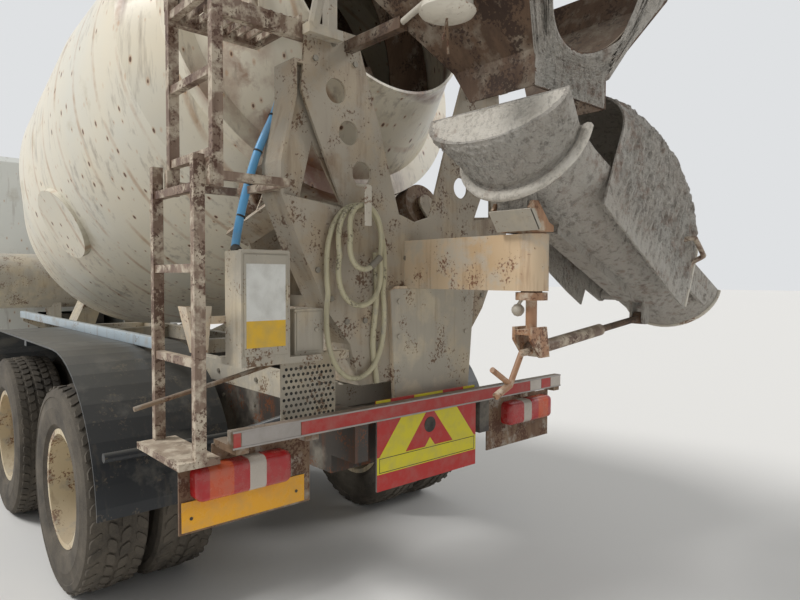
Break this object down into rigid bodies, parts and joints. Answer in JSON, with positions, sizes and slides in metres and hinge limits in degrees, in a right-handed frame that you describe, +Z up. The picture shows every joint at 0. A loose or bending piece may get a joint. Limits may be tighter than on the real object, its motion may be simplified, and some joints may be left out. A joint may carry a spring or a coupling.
{
  "type": "concrete mixer truck",
  "caption": "Three-axle concrete mixer truck with tilted rotating drum, swivelling discharge chutes, ladder and forward cab.",
  "frame": {"origin": "on the ground under the middle of the whole length and width, ahead of the driven axles", "axes": "+X to the front, +Y to the left, +Z up"},
  "size_m": [8.35, 2.82, 3.78],
  "materials": {
    "frame_paint": "satin",
    "mixer_paint": "satin",
    "cab_paint": "gloss",
    "drum_paint": "satin",
    "rim_paint": "satin",
    "tyre_rubber": "matte",
    "window_glass": "clear",
    "trim_plastic": "matte",
    "seat_fabric": "matte",
    "cast_steel": "rough",
    "chute_steel": "rough",
    "bare_steel": "worn",
    "hose_rubber": "matte",
    "lamp_plastic": "gloss",
    "board_sheet": "reflective"
  },
  "bodies": {
    "truck": {"chassis_frame": "frame_paint", "mixer_subframe": "mixer_paint", "front_axle": "frame_paint", "rear_axles": "frame_paint", "cab_shell": "cab_paint", "cab_glass": "window_glass", "cab_interior": "seat_fabric", "front_bumper": "trim_plastic", "mirrors": "trim_plastic", "engine_block": "cast_steel", "side_tanks": "bare_steel", "water_tank": "mixer_paint", "front_pedestal": "mixer_paint", "rear_pedestal": "mixer_paint", "feed_hopper": "mixer_paint", "discharge_funnel": "mixer_paint", "platform": "mixer_paint", "ladder_upper": "mixer_paint", "slew_arm": "mixer_paint", "hose_hank": "hose_rubber", "control_box": "mixer_paint", "rear_wings": "trim_plastic", "underrun_bar": "mixer_paint", "rear_boards": "board_sheet", "lamps": "lamp_plastic"},
    "steer_left": {"knuckle_left": "frame_paint"},
    "steer_right": {"knuckle_right": "frame_paint"},
    "wheel_front_left": {"tyre_front_left": "tyre_rubber", "rim_front_left": "rim_paint"},
    "wheel_front_right": {"tyre_front_right": "tyre_rubber", "rim_front_right": "rim_paint"},
    "wheels_mid_left": {"tyres_mid_left": "tyre_rubber", "rims_mid_left": "rim_paint"},
    "wheels_mid_right": {"tyres_mid_right": "tyre_rubber", "rims_mid_right": "rim_paint"},
    "wheels_rear_left": {"tyres_rear_left": "tyre_rubber", "rims_rear_left": "rim_paint"},
    "wheels_rear_right": {"tyres_rear_right": "tyre_rubber", "rims_rear_right": "rim_paint"},
    "cab_door_left": {"door_left": "cab_paint", "door_glass_left": "window_glass"},
    "cab_door_right": {"door_right": "cab_paint", "door_glass_right": "window_glass"},
    "drum": {"drum_shell": "drum_paint", "drum_blades": "drum_paint"},
    "roller_left": {"support_roller_left": "bare_steel"},
    "roller_right": {"support_roller_right": "bare_steel"},
    "lower_ladder": {"ladder_lower": "mixer_paint"},
    "swivel": {"chute_post": "mixer_paint"},
    "chute": {"main_chute": "chute_steel"},
    "flap_chute": {"extension_chute": "chute_steel"},
    "barrel": {"strut_barrel": "bare_steel"},
    "screw": {"strut_screw": "bare_steel"}
  },
  "joints": [
    {"name": "steering_left", "type": "hinge", "parent": "truck", "child": "steer_left", "pos_m": [2.725, 0.835, 0.522], "axis": [0, 0, 1], "range_deg": [-35, 35]},
    {"name": "spin_front_left", "type": "hinge", "parent": "steer_left", "child": "wheel_front_left", "pos_m": [2.725, 1.05, 0.522], "axis": [0, 1, 0], "continuous": true},
    {"name": "spin_mid_left", "type": "hinge", "parent": "truck", "child": "wheels_mid_left", "pos_m": [-0.475, 0.92, 0.522], "axis": [0, 1, 0], "continuous": true},
    {"name": "spin_rear_left", "type": "hinge", "parent": "truck", "child": "wheels_rear_left", "pos_m": [-1.875, 0.92, 0.522], "axis": [0, 1, 0], "continuous": true},
    {"name": "door_left", "type": "hinge", "parent": "truck", "child": "cab_door_left", "pos_m": [3.898, 1.162, 1.56], "axis": [0, 0, 1], "range_deg": [-65, 0]},
    {"name": "steering_right", "type": "hinge", "parent": "truck", "child": "steer_right", "pos_m": [2.725, -0.835, 0.522], "axis": [0, 0, 1], "range_deg": [-35, 35]},
    {"name": "spin_front_right", "type": "hinge", "parent": "steer_right", "child": "wheel_front_right", "pos_m": [2.725, -1.05, 0.522], "axis": [0, 1, 0], "continuous": true},
    {"name": "spin_mid_right", "type": "hinge", "parent": "truck", "child": "wheels_mid_right", "pos_m": [-0.475, -0.92, 0.522], "axis": [0, 1, 0], "continuous": true},
    {"name": "spin_rear_right", "type": "hinge", "parent": "truck", "child": "wheels_rear_right", "pos_m": [-1.875, -0.92, 0.522], "axis": [0, 1, 0], "continuous": true},
    {"name": "door_right", "type": "hinge", "parent": "truck", "child": "cab_door_right", "pos_m": [3.898, -1.162, 1.56], "axis": [0, 0, 1], "range_deg": [0, 65]},
    {"name": "drum_spin", "type": "hinge", "parent": "truck", "child": "drum", "pos_m": [-2.925, 0, 3.007], "axis": [0.9627, 0, -0.2706], "continuous": true},
    {"name": "roller_left_spin", "type": "hinge", "parent": "truck", "child": "roller_left", "pos_m": [-2.67176, 0.48604, 1.98628], "axis": [0.9627, 0, -0.2706], "continuous": true},
    {"name": "roller_right_spin", "type": "hinge", "parent": "truck", "child": "roller_right", "pos_m": [-2.67176, -0.48604, 1.98628], "axis": [0.9627, 0, -0.2706], "continuous": true},
    {"name": "ladder_slide", "type": "slide", "parent": "truck", "child": "lower_ladder", "axis": [0, 0, 1], "range_m": [0, 0.35]},
    {"name": "chute_slew", "type": "hinge", "parent": "truck", "child": "swivel", "pos_m": [-3.845, 0, 1.54], "axis": [0, 0, 1], "range_deg": [-180, 0]},
    {"name": "chute_tilt", "type": "hinge", "parent": "swivel", "child": "chute", "pos_m": [-3.845, 0.1, 1.85], "axis": [-1, 0, 0], "range_deg": [-10, 4]},
    {"name": "chute_fold", "type": "hinge", "parent": "chute", "child": "flap_chute", "pos_m": [-3.835, -0.98219, 1.50317], "axis": [1, 0, 0], "range_deg": [0, 165]},
    {"name": "strut_swing", "type": "hinge", "parent": "swivel", "child": "barrel", "pos_m": [-3.845, -0.03, 1.31], "axis": [-1, 0, 0], "range_deg": [-12.32, 5.53]},
    {"name": "strut_slide", "type": "slide", "parent": "barrel", "child": "screw", "axis": [0, -0.9944, 0.1053], "range_m": [-0.09988, 0.04295]}
  ],
  "couplings": [
    {"joint": "roller_left_spin", "follows": "drum_spin", "ratio": -6.9615},
    {"joint": "roller_right_spin", "follows": "drum_spin", "ratio": -6.9615},
    {"joint": "steering_right", "follows": "steering_left", "ratio": 1},
    {"joint": "strut_swing", "follows": "chute_tilt", "ratio": 1.1316},
    {"joint": "strut_slide", "follows": "chute_tilt", "m_per_rad": 0.54362}
  ]
}
